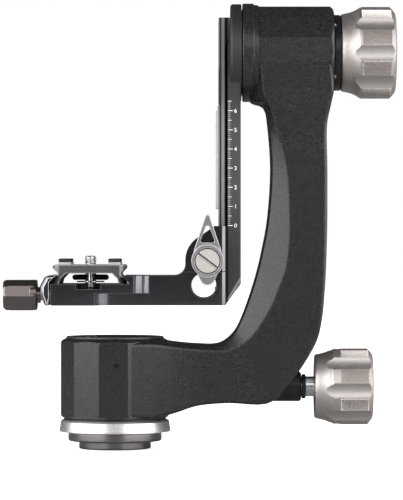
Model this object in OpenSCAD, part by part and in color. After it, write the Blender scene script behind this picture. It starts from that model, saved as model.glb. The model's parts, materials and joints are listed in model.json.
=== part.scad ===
// Gimbal tripod head: a pan base, a C-shaped yoke, a swinging dovetail rail and a
// sliding platform with a lever-clamp jaw. Millimetres, +Z up. The origin is the centre
// of the base's bottom face, the pan axis is Z and the tilt axis runs along X.

/* [Base] */
// Radius of the lowest step, which seats on the support
foot_r = 19.0; // [18:0.5:21]
// Height of the lowest step
foot_h = 4.1; // [3.5:0.1:5]
// Radius of the base disc
base_r = 24.7; // [24:0.1:26]
// Height of the base disc's top
base_top = 9.1; // [8.8:0.1:9.6]
// Radius of the pan scale ring at its foot
scale_r = 29.3; // [28.5:0.1:30]
// Height of the pan scale ring's top
scale_top = 15.3; // [15:0.1:15.4]
// Tapping radius of the 3/8-16 hole in the base
tripod_thread_r = 3.97; // [3.9:0.01:4.05]

/* [Yoke] */
// Height of the lower boss's bottom face
boss_z0 = 16.5; // [16.4:0.1:17]
// Height of the lower boss's top face
boss_z1 = 58.1; // [57.5:0.1:58.5]
// Distance from the pan axis to each flat of the lower boss
boss_apothem = 28.3; // [28:0.1:29]
// Number of flats on both bosses
boss_sides = 12; // [12]
// Half of the arm's depth along Y, at its thinnest
arm_half = 20.7; // [20:0.1:21]
// Height of the tilt axis
tilt_z = 209.1; // [208.5:0.1:210]
// Distance from the tilt axis to each flat of the upper boss
head_apothem = 24.0; // [23.5:0.1:24.5]
// Right-hand end of the upper boss
head_x1 = 115.5; // [115:0.1:116]
// Radius of the flange that faces the swing disc
flange_r = 26.0; // [25.5:0.1:26.5]

/* [Swing rail] */
// Radius of the swing disc
disc_r = 25.7; // [25:0.1:26]
// Half of the dovetail rail's width
rail_half = 19.1; // [19:0.1:19.3]
// Outer face of the dovetail
rail_x0 = 54.8; // [54.6:0.1:55]
// Left-hand face of the rail's base bar, beside the groove
rail_bar_x0 = 59.4; // [59.3:0.1:59.5]
// Right-hand face of the rail's base bar
rail_bar_x1 = 66.3; // [66:0.1:66.6]
// Height of the rail's lower end
rail_z0 = 77.4; // [77:0.1:78]

/* [Platform] */
// Height of the platform's underside at rest
plat_z0 = 75.9; // [75.5:0.1:76.2]
// Height of the platform arm's top face
plat_z1 = 91.5; // [91:0.1:92]
// Height of the upright's top
upright_z1 = 117.3; // [117:0.1:118]
// Half of the platform arm's width
plat_half = 23.0; // [22.8:0.1:23.5]
// Half of the clamp's length
clamp_half = 31.5; // [31:0.5:33]
// Radius of the round window in the upright's foot
window_r = 6.6; // [6:0.1:7]
// Lever pivot, distance from the pan axis
lever_x = 48.9; // [48.5:0.1:49.3]
// Lever pivot, height at rest
lever_z = 99.1; // [98.5:0.1:99.5]

/* [Quick-release plate] */
// Centre of the plate, distance from the pan axis
plate_x = -12.9; // [-13.1:0.1:-12.7]
// Width over the plate's dovetail
plate_w = 38.0; // [37.8:0.1:38.2]
// Length of the plate
plate_len = 50; // [46:1:60]
// Height of the plate's top face
plate_z1 = 97.2; // [97:0.1:97.6]
// Radius of the 1/4-20 camera screw's thread
camera_thread_r = 3.175; // [3.1:0.005:3.2]

/* [Knobs] */
// Radius of the tilt knob
tilt_knob_r = 23.9; // [23:0.1:24.5]
// Flutes round the tilt knob
tilt_flutes = 9; // [6:1:10]
// Radius of the pan knob
pan_knob_r = 19.9; // [19:0.1:20.5]
// Flutes round the pan knob
pan_flutes = 8; // [6:1:9]
// Height of the pan knob's axis
pan_knob_z = 32.7; // [32.4:0.1:33]
// Radius of the clamp knob
clamp_knob_r = 8.1; // [7.8:0.1:8.4]

/* [Hidden] */
$fn = 64;
eps = 0.05;
thru = 200;

// Gaps between neighbours
fit = 0.05;        // a bearing, thread or guide that runs
slide_gap = 0.1;   // faces of the dovetail slide
part_gap = 0.3;    // parts that pass each other

// Ball bearings: the two of the pan post and the two of the tilt shaft
post_r = 12.5;
pan_race_r = 21.0;
pan_race_w = 9;
pan_race_z = [17.0, 43.0];
shaft_r = 10.0;
tilt_race_r = 16.0;
tilt_race_w = 7;
tilt_race_x = [73.5, 102.0];
pan_balls = 12;
tilt_balls = 11;

// Base stack
hub_r = 18;
hub_z = 12.0;
post_flange_z = 14.9;
nut_r = 16;
nut_z1 = 55.6;
post_thread_r = 10;
base_screw_ring = 12.6;
base_screws_n = 3;

// Cap and bubble level of the lower boss
cap_r = 25.8;
cap_z1 = 59.3;
level_x = -12;
level_r = 4.6;
level_z0 = 56.6;

// Yoke arm: pairs of points on the inner and outer outline, seen from the front, then the
// width and depth of the soft bevel along the inner edge, and how far the arm spreads
// beyond its half depth where it flows into a boss:
// [inner x, inner z, outer x, outer z, bevel width, bevel depth, spread]
arm_stations = [
    [  4.0,  57.4,   4.0,  17.2,  2.0,  2.1, 7.3],
    [  7.0,  57.4,   7.0,  17.1,  2.0,  2.1, 7.3],
    [ 21.0,  57.5,  21.0,  17.0,  2.0,  2.1, 4.4],
    [ 32.0,  56.0,  32.5,  19.8,  2.0,  2.1, 2.5],
    [ 43.0,  55.1,  44.0,  23.4,  2.2,  2.3, 1.2],
    [ 54.5,  55.3,  60.0,  24.7,  3.0,  2.7, 0.4],
    [ 62.0,  60.4,  80.0,  24.4,  6.0,  3.3, 0.1],
    [ 66.7,  68.5,  91.2,  33.8,  9.5,  3.9, 0],
    [ 72.1,  83.3, 104.3,  53.5, 12.5,  4.5, 0],
    [ 75.0,  93.0, 108.6,  67.3, 13.2,  4.6, 0],
    [ 77.4, 103.0, 110.5,  88.0, 13.5,  4.7, 0],
    [ 80.8, 122.0, 111.5, 117.0, 10.5,  4.7, 0],
    [ 82.4, 148.0, 111.6, 147.0,  7.0,  4.1, 0],
    [ 80.7, 172.0, 111.3, 169.0,  3.0,  3.6, 0.3],
    [ 78.4, 180.5, 113.6, 181.5,  2.6,  5.8, 1.1],
    [ 70.8, 184.9, 115.0, 190.0,  7.4, 10.8, 2.1],
    [ 74.0, 203.2, 113.5, 206.0,  2.4, 11.9, 3.0]];
arm_steps = 4;
arm_edge = 2.0;

// Upper boss
flange_x0 = 67.4;
flange_x1 = 72.9;
head_x0 = 75.5;
head_neck_r = 25.1;
washer_x0 = 67.1;
washer_x1 = 68.6;
cover_r = 20.0;
cover_x1 = 119.2;
stud_r = 5.0;
tilt_knob_len = 28.4;
tilt_phase = 4.0;
shaft_x1 = 110.0;
pad_x1 = 112.0;

// Pan lock: bore, sleeve and rod on the knob's axis
rod_r = 4.0;
rod_x0 = 20.6;
pan_bore_x0 = 16;
shank_x0 = 100.8;
shank_r = 5.3;
sleeve_x0 = 72;
sleeve_step = 84;
sleeve_x1 = 98.4;
sleeve_r = 7.9;
sleeve_spigot_r = 6.5;
pan_back_x = 105.5;
pan_knob_len = 30.5;
pan_phase = 4.5;

// Grip of the large knobs: flutes, and the dish in the end
flute_depth = 1.6;
flute_r = 7.3;
dish_depth = 1.4;
dish_rim = 6;

// Rail
disc_x0 = 61.0;
disc_x1 = 66.8;
rail_top = tilt_z + sqrt(disc_r * disc_r - rail_half * rail_half);
groove_x0 = 57.9;
groove_depth = 2.1;
groove_top = 208;
cutter_r = 14;
rib_x0 = 53.1;
rib_half = 5.0;
rib_z = [126.5, 180.6];
stop_z = [181.0, 199.5];
stop_x1 = 56.1;
stop_proud = 0.6;
stop_screw_y = 11.5;
stop_screw_z = 82.6;
shaft_screw_r = 8.0;
shaft_screws_n = 4;

// Platform
plat_x0 = -32.6;
plat_x1 = 59.0;
jaw_split_y = 15.5;
jaw_split_z = 93.6;
shelf_z = 82.2;
clamp_floor = 87.0;
lip_x = 5.1;
lip_z = 91.5;
channel_half = 6.4;
channel_z = 84.4;
channel_y1 = 16;
dowel_at = [[42.6, 103.5], [51.0, 111.6]];
dowel_r = 1.5;
lever_screw_r = 3.0;
lever_y0 = -27.4;
wing_y0 = -26.7;
lever_seat_y = -25.9;
slot_turn = 37;
slot_w = 1.5;

// Clamp
clamp_axis_z = 81.0;
clamp_screw_r = 3.0;
screw_x0 = -56;
screw_x1 = -9;
knob_x0 = -59;
knob_x1 = -41.1;
grip_x1 = -43;
neck_r = 4.25;
knob_facets = 9;
knob_turn = -6.0;
jaw_x0 = -39.2;
jaw_x1 = -33.4;
jaw_tip_x = -29.7;
jaw_bow = 1.7;
jaw_bow_y = 11;
jaw_bevel = 1.2;
pin_x = [-36.4, -15];
pin_y = 17;
pin_r = 2.5;
spring_r = 3.05;
spring_wire = 0.35;
spring_turns = 6;
spring_x = [-33.4, -24.5];

// Camera screw and its ring, pads of the plate
head_z0 = 84.9;
neck_screw_r = 2.9;
thread_z1 = 101.8;
ring_z = 90.4;
ring_r = 8.2;
ring_wire = 1.5;
ring_pivot_r = 0.8;
pad_offset = 13;
pad_half = 3;
pad_rib_h = 1.2;
pad_h = 1.9;

// ---------------------------------------------------------------- helpers

// Turn a shape that stands along Z so that it runs along +X
module along_x() { rotate([0, 90, 0]) children(); }

// Turn a shape that stands along Z so that it runs along +Y
module along_y() { rotate([-90, 0, 0]) children(); }

// Extrude an outline drawn in X and Z along Y, from y0 to y1
module front_slab(y0, y1) {
    translate([0, y1, 0]) rotate([90, 0, 0]) linear_extrude(y1 - y0) children();
}

// Revolve an outline of [x, radius] points about the X axis
module turned_x(outline) {
    along_x() rotate_extrude() polygon([for (p = outline) [p[1], p[0]]]);
}

// Revolve an outline of [z, radius] points about the Z axis
module turned_z(outline) {
    rotate_extrude() polygon([for (p = outline) [p[1], p[0]]]);
}

// Round rod along +X from x0 to x1
module rod_x(x0, x1, r) {
    translate([x0, 0, 0]) along_x() cylinder(r = r, h = x1 - x0);
}

// Round rod along +Y from y0 to y1
module rod_y(y0, y1, r) {
    translate([0, y0, 0]) along_y() cylinder(r = r, h = y1 - y0);
}

// Tube along Z from z0 to z1
module tube_z(z0, z1, r_out, r_in) {
    translate([0, 0, z0]) difference() {
        cylinder(r = r_out, h = z1 - z0);
        translate([0, 0, -1]) cylinder(r = r_in, h = z1 - z0 + 2);
    }
}

// Points of an arc round [cx, cy]
function arc_points(cx, cy, r, a0, a1, n) =
    [for (i = [0:n]) let (a = a0 + (a1 - a0) * i / n) [cx + r * cos(a), cy + r * sin(a)]];

// Regular prism along Z with a flat facing +X, given the distance to its flats
module flat_prism(apothem, sides, h) {
    rotate([0, 0, 180 / sides]) cylinder(r = apothem / cos(180 / sides), h = h, $fn = sides);
}

// Catmull-Rom blend of four values or points
function blend4(a, b, c, d, t) =
    0.5 * (2 * b + (c - a) * t + (2 * a - 5 * b + 4 * c - d) * t * t
           + (3 * b - a - 3 * c + d) * t * t * t);

// Smooth run through a list of rows, with steps points between neighbours
function smooth_rows(rows, steps) = let (n = len(rows) - 1) concat(
    [for (i = [0:n - 1], k = [0:steps - 1])
        blend4(rows[max(i - 1, 0)], rows[i], rows[i + 1], rows[min(i + 2, n)], k / steps)],
    [rows[n]]);

// Solid through a list of closed rings that hold the same number of points
module loft(rings) {
    n = len(rings[0]);
    last = len(rings) - 1;
    sides = [for (i = [0:last - 1], k = [0:n - 1], tri = [0, 1])
        let (a = i * n + k, b = i * n + (k + 1) % n)
        tri == 0 ? [a, b, b + n] : [a, b + n, a + n]];
    caps = [[for (k = [n - 1:-1:0]) k], [for (k = [0:n - 1]) last * n + k]];
    polyhedron(points = [for (ring = rings, p = ring) p], faces = concat(sides, caps));
}

// ---------------------------------------------------------------- ball bearings

// Place one copy at each bearing of the pan post
module at_pan_races() { for (z = pan_race_z) translate([0, 0, z]) children(); }

// Place one copy at each bearing of the tilt shaft, turned onto the tilt axis
module at_tilt_races() {
    for (x = tilt_race_x) translate([x, 0, tilt_z]) along_x() children();
}

function ball_path(r_in, r_out) = (r_in + r_out) / 2;
function ball_size(r_in, r_out) = (r_out - r_in) * 0.29;

// Ring between two radii with the groove that the balls run in
module race(r0, r1, w, path, ball) {
    difference() {
        tube_z(0, w, r1, r0);
        translate([0, 0, w / 2]) rotate_extrude() translate([path, 0]) circle(r = ball + fit);
    }
}

module inner_race(r_in, r_out, w) {
    race(r_in, r_in + (r_out - r_in) * 0.3, w, ball_path(r_in, r_out), ball_size(r_in, r_out));
}

module outer_race(r_in, r_out, w) {
    race(r_out - (r_out - r_in) * 0.3, r_out, w, ball_path(r_in, r_out), ball_size(r_in, r_out));
}

module balls(r_in, r_out, w, n) {
    for (i = [0:n - 1]) rotate([0, 0, 360 * i / n])
        translate([ball_path(r_in, r_out), 0, w / 2]) sphere(r = ball_size(r_in, r_out), $fn = 32);
}

// ---------------------------------------------------------------- base

module at_base_screws() {
    for (i = [0:base_screws_n - 1]) rotate([0, 0, 90 + 360 * i / base_screws_n])
        translate([base_screw_ring, 0, 0]) children();
}

module base_plate() {
    color("#4b4744") difference() {
        turned_z([[0, 0], [0, foot_r - 0.5], [0.5, foot_r], [foot_h, foot_r], [foot_h, base_r - 0.6],
                  [foot_h + 0.6, base_r], [base_top - 0.6, base_r], [base_top, base_r - 0.6],
                  [base_top, hub_r], [hub_z, hub_r], [hub_z, 0]]);
        translate([0, 0, -1]) cylinder(r = tripod_thread_r, h = hub_z + 2);
        at_base_screws() {
            translate([0, 0, -1]) cylinder(r = 2.0, h = hub_z + 2);
            translate([0, 0, -1]) cylinder(r = 3.7, h = 5.2);
        }
    }
}

module pan_scale_ring() {
    color("#c9c7c3")
        turned_z([[base_top, hub_r], [base_top, scale_r], [base_top + 0.6, scale_r],
                  [scale_top - 0.9, scale_r - 0.6], [scale_top, scale_r - 1.5], [scale_top, hub_r]]);
}

module base_screws() {
    color("#77777a") at_base_screws() difference() {
        union() {
            cylinder(r = 3.5, h = 4.2);
            cylinder(r = 2.0, h = 14);
        }
        translate([0, 0, -1]) rotate([0, 0, 30]) cylinder(r = 1.7, h = 3.2, $fn = 6);
    }
}

module pan_post() {
    color("#9a9a9c") difference() {
        turned_z([[hub_z, 5], [hub_z, hub_r], [post_flange_z, hub_r], [post_flange_z, 14.6],
                  [pan_race_z[0], 14.6], [pan_race_z[0], post_r], [52, post_r], [52, post_thread_r],
                  [56, post_thread_r], [56, 5]]);
        at_base_screws() translate([0, 0, hub_z - 1]) cylinder(r = 2.0, h = 3);
    }
}

module post_nut() {
    color("#8c8c8f") difference() {
        tube_z(52, nut_z1, nut_r, post_thread_r);
        for (a = [0, 90]) rotate([0, 0, a])
            translate([-nut_r - 1, -1.5, nut_z1 - 1.6]) cube([2 * nut_r + 2, 3, 3]);
    }
}

module pan_friction_ring() { color("#1b1b1c") tube_z(scale_top, boss_z0 - 0.15, 27, 22); }

module pan_bearing_inner_rings() {
    color("#b5b5b8") at_pan_races() inner_race(post_r, pan_race_r, pan_race_w);
}

module pan_bearing_balls() {
    color("#d0d0d2") at_pan_races() balls(post_r, pan_race_r, pan_race_w, pan_balls);
}

module pan_bearing_outer_rings() {
    color("#b5b5b8") at_pan_races() outer_race(post_r, pan_race_r, pan_race_w);
}

// ---------------------------------------------------------------- yoke

// One closed ring of the arm: flat inner face, soft bevel, flat sides, rounded outer edges
function arm_ring(s) = let (
    run = [s[2] - s[0], s[3] - s[1]],
    w = norm(run),
    dir = run / w,
    deep = arm_half + s[6],
    half = concat(
        [[0, deep - s[5] - 1], [0.7, deep - s[5] + 0.2], [s[4], deep - 0.4], [s[4] + 1.6, deep]],
        arc_points(w - arm_edge, deep - arm_edge, arm_edge, 90, 0, 3)),
    n = len(half) - 1,
    outline = concat(half, [for (i = [n:-1:0]) [half[i][0], -half[i][1]]]))
    [for (p = outline) [s[0] + dir[0] * p[0], p[1], s[1] + dir[1] * p[0]]];

// Lower boss: flats all round, with turned chamfers above and below
module lower_boss() {
    intersection() {
        translate([0, 0, boss_z0]) flat_prism(boss_apothem, boss_sides, boss_z1 - boss_z0);
        turned_z([[boss_z0, 0], [boss_z0, boss_apothem - 0.6], [boss_z0 + 1.4, boss_apothem + 0.8],
                  [boss_z0 + 5, boss_apothem + 2], [boss_z1 - 5, boss_apothem + 2],
                  [boss_z1 - 1.7, boss_apothem + 0.6], [boss_z1 - 0.5, boss_apothem - 0.9],
                  [boss_z1, boss_apothem - 2], [boss_z1, 0]]);
    }
}

// Upper boss: flats all round with a turned end, and the round flange at the swing disc
module upper_boss() {
    translate([0, 0, tilt_z]) {
        intersection() {
            translate([head_x0 - 1, 0, 0]) along_x()
                flat_prism(head_apothem, boss_sides, head_x1 - head_x0 + 1);
            turned_x([[head_x0 - 2, 0], [head_x0 - 2, 30], [head_x1 - 6, 30],
                      [head_x1 - 1.6, head_apothem + 0.3], [head_x1 - 0.4, head_apothem - 0.8],
                      [head_x1, head_apothem - 2], [head_x1, 0]]);
        }
        turned_x([[flange_x0, 0], [flange_x0, flange_r - 0.4], [flange_x0 + 0.4, flange_r],
                  [flange_x1, flange_r], [flange_x1 + 0.6, head_neck_r + 0.2],
                  [head_x0 + 0.3, head_neck_r], [head_x0 + 0.3, 0]]);
    }
}

module yoke_arm() {
    color("#2e2f31") difference() {
        union() {
            loft([for (s = smooth_rows(arm_stations, arm_steps)) arm_ring(s)]);
            lower_boss();
            upper_boss();
        }
        // Bearing seats and the cavity between them on the pan axis
        translate([0, 0, pan_race_z[0] - 2]) cylinder(r = pan_race_r, h = pan_race_w + 2);
        translate([0, 0, boss_z0]) cylinder(r = pan_race_r - 2, h = 40);
        translate([0, 0, pan_race_z[1]]) cylinder(r = pan_race_r, h = 30);
        // Bearing seats on the tilt axis, and the seat of the friction washer
        translate([0, 0, tilt_z]) {
            rod_x(flange_x0 - 1, tilt_race_x[0] + tilt_race_w, tilt_race_r);
            rod_x(flange_x0 + 2, head_x1 - 2, tilt_race_r - 2);
            rod_x(tilt_race_x[1], head_x1 + 1, tilt_race_r);
            rod_x(flange_x0 - 1, washer_x1, 23);
        }
        // Bore of the pan lock, with the two seats of its sleeve
        translate([0, 0, pan_knob_z]) {
            rod_x(pan_bore_x0, sleeve_x0 + 1, rod_r + fit);
            rod_x(sleeve_x0, sleeve_step + 1, sleeve_spigot_r);
            rod_x(sleeve_step, 130, sleeve_r);
        }
        translate([1.4, -boss_apothem, 44.6]) rod_y(-2, 8, 1.25);
    }
}

module boss_cap() {
    color("#1a1a1b") difference() {
        turned_z([[56, 19.4], [56, pan_race_r], [boss_z1, pan_race_r], [boss_z1, cap_r],
                  [cap_z1 - 0.4, cap_r], [cap_z1, cap_r - 0.4], [cap_z1, cap_r - 1.6],
                  [cap_z1 - 0.35, cap_r - 2], [cap_z1 - 0.35, 0], [57.2, 0], [57.2, 19.4]]);
        translate([level_x, 0, 50]) cylinder(r = level_r, h = 12);
    }
}

module level_cup() {
    color("#26241f") translate([level_x, 0, 0])
        turned_z([[level_z0, 0], [level_z0, level_r], [cap_z1 + 0.3, level_r],
                  [cap_z1 + 0.5, level_r - 0.2], [cap_z1 + 0.5, level_r - 0.8],
                  [57.2, level_r - 0.8], [57.2, 0]]);
}

module level_vial() {
    color("#b9d36a") translate([level_x, 0, 57.2])
        turned_z([[0, 0], [0, level_r - 0.8], [1.9, level_r - 0.8], [2.3, level_r - 1.6], [2.4, 0]]);
}

module bearing_set_screw() {
    color("#101010") translate([1.4, -boss_apothem, 44.6]) difference() {
        rod_y(0.5, 6.5, 1.25);
        translate([0, 0.2, 0]) along_y() cylinder(r = 0.7, h = 1.6, $fn = 6);
    }
}

module tilt_bearing_outer_rings() {
    color("#b5b5b8") at_tilt_races() outer_race(shaft_r, tilt_race_r, tilt_race_w);
}

module tilt_bearing_balls() {
    color("#d0d0d2") at_tilt_races() balls(shaft_r, tilt_race_r, tilt_race_w, tilt_balls);
}

module tilt_friction_washer() {
    color("#141414") translate([0, 0, tilt_z])
        turned_x([[washer_x0, 17], [washer_x0, 23], [washer_x1, 23], [washer_x1, 17]]);
}

module tilt_end_cover() {
    color("#161617") translate([0, 0, tilt_z])
        turned_x([[113.6, stud_r + fit], [113.6, tilt_race_r], [head_x1, tilt_race_r],
                  [head_x1, cover_r - 0.5], [head_x1 + 0.5, cover_r], [cover_x1 - 0.5, cover_r],
                  [cover_x1, cover_r - 0.5], [cover_x1, stud_r + fit]]);
}

module pan_lock_sleeve() {
    color("#131314") translate([0, 0, pan_knob_z])
        turned_x([[sleeve_x0, rod_r + fit], [sleeve_x0, sleeve_spigot_r],
                  [sleeve_step, sleeve_spigot_r], [sleeve_step, sleeve_r],
                  [sleeve_x1 - 0.9, sleeve_r], [sleeve_x1, sleeve_r - 0.9],
                  [sleeve_x1, rod_r + fit]]);
}

// ---------------------------------------------------------------- knobs

// Outline of a large knob as [x, radius]: narrow back edge, curved flare, grip, end chamfer
function knob_outline(r, len, flare) = [
    [0, 0], [0, r - flare - 0.5], [0.9, r - flare], [3.4, r - flare + 0.5],
    [5.6, r - flare + 1.1], [7.4, r - flare + 1.9], [8.8, r - 0.7], [9.8, r],
    [len - 2.4, r], [len - 0.5, r - 2.3], [len, r - 3.1], [len, 0]];

// Large knob along +X from its back face: flared, fluted, with a dished end
module fluted_knob(r, len, flare, flutes, phase, hollow_r, hollow_len, bore_r) {
    difference() {
        turned_x(knob_outline(r, len, flare));
        for (i = [0:flutes - 1]) rotate([phase + 360 * i / flutes, 0, 0])
            translate([0, -(r + flute_r - flute_depth), 0]) rod_x(-1, len + 1, flute_r);
        rod_x(len - dish_depth, len + 1, r - dish_rim);
        if (hollow_len > 0)
            turned_x([[-1, 0], [-1, hollow_r + 3], [0, hollow_r + 2.2], [1.8, hollow_r],
                      [hollow_len, hollow_r], [hollow_len, 0]]);
        rod_x(-1, len - 6, bore_r);
    }
}

// Disc in the dished end of a knob, measured back from the knob's end
module end_disc(r) {
    turned_x([[-dish_depth, 0], [-dish_depth, r], [-dish_depth + 0.7, r], [-dish_depth + 1, r - 0.4],
              [-dish_depth + 1, 0]]);
}

module pan_knob() {
    color("#b7aea8") translate([pan_back_x, 0, pan_knob_z])
        fluted_knob(pan_knob_r, pan_knob_len, 2.9, pan_flutes, pan_phase, 13.8, 6.5, shank_r);
}

module pan_knob_cap() {
    color("#a79e98") translate([pan_back_x + pan_knob_len, 0, pan_knob_z])
        end_disc(pan_knob_r - dish_rim);
}

module pan_knob_washer() {
    color("#1c1c1d") translate([0, 0, pan_knob_z])
        turned_x([[sleeve_x1 + part_gap, rod_r], [sleeve_x1 + part_gap, 6.0],
                  [sleeve_x1 + 0.7, 6.5], [shank_x0 - 0.4, 6.5], [shank_x0, 6.0], [shank_x0, rod_r]]);
}

module pan_lock_rod() {
    color("#c5c3c0") translate([0, 0, pan_knob_z])
        turned_x([[rod_x0, 0], [rod_x0, rod_r - 0.4], [rod_x0 + 0.4, rod_r], [shank_x0, rod_r],
                  [shank_x0, shank_r], [pan_back_x + 24.5, shank_r], [pan_back_x + 24.5, 0]]);
}

module pan_brake_shoe() {
    color("#8a6a3a") difference() {
        translate([0, 0, pan_knob_z]) rod_x(11, rod_x0 - 0.1, rod_r);
        cylinder(r = post_r + 0.1, h = 80);
    }
}

module tilt_knob() {
    color("#b7aea8") translate([cover_x1 + part_gap, 0, tilt_z])
        fluted_knob(tilt_knob_r, tilt_knob_len, 3.4, tilt_flutes, tilt_phase, 0, 0, stud_r);
}

module tilt_knob_cap() {
    color("#a79e98") translate([cover_x1 + part_gap + tilt_knob_len, 0, tilt_z])
        end_disc(tilt_knob_r - dish_rim);
}

module tilt_stud() {
    color("#c5c3c0") translate([0, 0, tilt_z])
        turned_x([[pad_x1 + 0.1, 0], [pad_x1 + 0.1, stud_r - 0.5], [pad_x1 + 0.6, stud_r],
                  [cover_x1 + part_gap + 22.4, stud_r], [cover_x1 + part_gap + 22.4, 0]]);
}

module tilt_brake_pad() {
    color("#8a6a3a") translate([0, 0, tilt_z])
        turned_x([[shaft_x1 + part_gap, 0], [shaft_x1 + part_gap, 8.6], [pad_x1, 8.6], [pad_x1, 0]]);
}

// ---------------------------------------------------------------- swing rail

// Half outline of the dovetail groove's cutter as [x, distance from the groove's floor]
groove_cutter = [[groove_x0 - 1, groove_depth + 1], [groove_x0 + groove_depth, 0],
                 [rail_bar_x0 + groove_depth - 0.9, 0], [rail_bar_x0, 1.2],
                 [rail_bar_x0, groove_depth + 1]];
groove_floor = rail_half - groove_depth;

// Dovetail groove along one edge of the rail, with the round run-out of its cutter
module dovetail_groove() {
    translate([0, 0, rail_z0 - 1]) linear_extrude(groove_top - rail_z0 + 1)
        polygon([for (p = groove_cutter) [p[0], groove_floor + p[1]]]);
    translate([0, groove_floor + cutter_r, groove_top])
        turned_x([for (p = groove_cutter) [p[0], cutter_r - p[1]]]);
}

module at_shaft_screws() {
    for (i = [0:shaft_screws_n - 1])
        translate([0, 0, tilt_z]) rotate([45 + 360 * i / shaft_screws_n, 0, 0])
            translate([0, shaft_screw_r, 0]) children();
}

module swing_rail() {
    color("#515257") difference() {
        union() {
            translate([0, 0, rail_z0]) linear_extrude(rail_top - rail_z0) polygon([
                [rail_x0, -rail_half + 0.5], [rail_x0 + 0.5, -rail_half],
                [rail_bar_x1 - 0.7, -rail_half], [rail_bar_x1, -rail_half + 0.7],
                [rail_bar_x1, rail_half - 0.7], [rail_bar_x1 - 0.7, rail_half],
                [rail_x0 + 0.5, rail_half], [rail_x0, rail_half - 0.5]]);
            translate([0, 0, tilt_z])
                turned_x([[disc_x0, 0], [disc_x0, disc_r - 0.9], [disc_x0 + 0.9, disc_r],
                          [disc_x1 - 0.3, disc_r], [disc_x1, disc_r - 0.3], [disc_x1, 0]]);
        }
        dovetail_groove();
        mirror([0, 1, 0]) dovetail_groove();
        // Slanted lower end behind the dovetail
        front_slab(-rail_half - 1, rail_half + 1)
            polygon([[rail_bar_x0, rail_z0 - 1], [rail_bar_x0, rail_z0],
                     [rail_bar_x1 + 1, rail_z0 + 11.3], [rail_bar_x1 + 1, rail_z0 - 1]]);
        // Seat of the upper stop
        translate([rail_x0 - 1, -rail_half - 1, stop_z[0]])
            cube([stop_x1 - rail_x0 + 1, 2 * rail_half + 2, stop_z[1] - stop_z[0]]);
        // Seat of the shaft's flange and its screws
        translate([0, 0, tilt_z]) rod_x(63.8, 70, 15);
        at_shaft_screws() {
            rod_x(50, 64.5, 2.0);
            rod_x(50, 59.0, 3.6);
        }
        for (s = [-1, 1]) translate([0, s * stop_screw_y, stop_screw_z]) rod_x(50, 60.5, 1.5);
    }
}

module tilt_shaft() {
    color("#a3a3a6") difference() {
        translate([0, 0, tilt_z])
            turned_x([[63.8, 0], [63.8, 15], [disc_x1, 15], [disc_x1, 12], [tilt_race_x[0], 12],
                      [tilt_race_x[0], shaft_r], [shaft_x1, shaft_r], [shaft_x1, 0]]);
        at_shaft_screws() rod_x(60, 71.5, 2.0);
        // Groove of the circlip
        translate([0, 0, tilt_z])
            turned_x([[109.0, 9.3], [109.0, 11], [109.9, 11], [109.9, 9.3]]);
    }
}

module shaft_screws() {
    color("#3a3a3c") at_shaft_screws() difference() {
        union() {
            rod_x(55.0, 59.0, 3.5);
            rod_x(58.0, 71.0, 2.0);
        }
        translate([54, 0, 0]) along_x() cylinder(r = 1.7, h = 3.2, $fn = 6);
    }
}

module tilt_bearing_inner_rings() {
    color("#b5b5b8") at_tilt_races() inner_race(shaft_r, tilt_race_r, tilt_race_w);
}

module shaft_circlip() {
    color("#6e6e70") difference() {
        translate([0, 0, tilt_z])
            turned_x([[109.0, 9.3], [109.0, 11.6], [109.9, 11.6], [109.9, 9.3]]);
        translate([108, -1.5, tilt_z - 13]) cube([3, 3, 13]);
    }
}

module rail_rib() {
    color("#b9aea6") front_slab(-rib_half, rib_half)
        polygon([[rail_x0, rib_z[0]], [rib_x0 + 0.5, rib_z[0]], [rib_x0, rib_z[0] + 0.5],
                 [rib_x0, rib_z[1] - 2.4], [rib_x0 + 0.8, rib_z[1] - 2.1],
                 [rib_x0 + 0.8, rib_z[1]], [rail_x0, rib_z[1]]]);
}

module rail_upper_stop() {
    color("#0f0f10") translate([rail_x0, -rail_half - stop_proud, stop_z[0]])
        cube([stop_x1 - rail_x0, 2 * (rail_half + stop_proud), stop_z[1] - stop_z[0]]);
}

module rail_stop_screws() {
    color("#3a3a3c") for (s = [-1, 1]) translate([0, s * stop_screw_y, stop_screw_z]) difference() {
        union() {
            rod_x(53.0, rail_x0, 2.6);
            rod_x(54, 60, 1.5);
        }
        translate([52, 0, 0]) along_x() cylinder(r = 1.2, h = 2.0, $fn = 6);
    }
}

// ---------------------------------------------------------------- platform

// Outline of the bracket seen from the front: clamp floor, fixed lip, arm and upright
module bracket_front() {
    polygon(concat(
        [[plat_x0, plat_z0 + 0.6], [plat_x0 + 0.6, plat_z0], [plat_x1 - 0.8, plat_z0],
         [plat_x1, plat_z0 + 0.8], [plat_x1, upright_z1], [52.5, upright_z1]],
        arc_points(51.2, 99.6, 13.9, 118, 180, 6),
        arc_points(31.3, 97.5, 6.0, 0, -90, 6),
        [[lip_x + 0.3, lip_z], [lip_x, lip_z - 0.3], [lip_x, lip_z - 0.8],
         [lip_x + 3.2, lip_z - 4.0], [lip_x + 3.2, clamp_floor], [plat_x0, clamp_floor]]));
}

// Plan of the bracket: the wide clamp, coves that lead to the arm, and round far corners
module bracket_plan(shelf_x, coves) {
    half = concat([[plat_x0, clamp_half]],
                  coves,
                  arc_points(plat_x1 - 3, plat_half - 3, 3, 90, 0, 6));
    n = len(half) - 1;
    polygon(concat(half, [for (i = [n:-1:0]) [half[i][0], -half[i][1]]]));
}

upper_coves = concat(arc_points(14.8, clamp_half, 4.2, 180, 270, 6),
                     arc_points(19.1, clamp_half - 4.2, clamp_half - 4.2 - plat_half, 180, 270, 6));
lower_coves = arc_points(-1.2, clamp_half, clamp_half - plat_half, 180, 270, 8);

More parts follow.
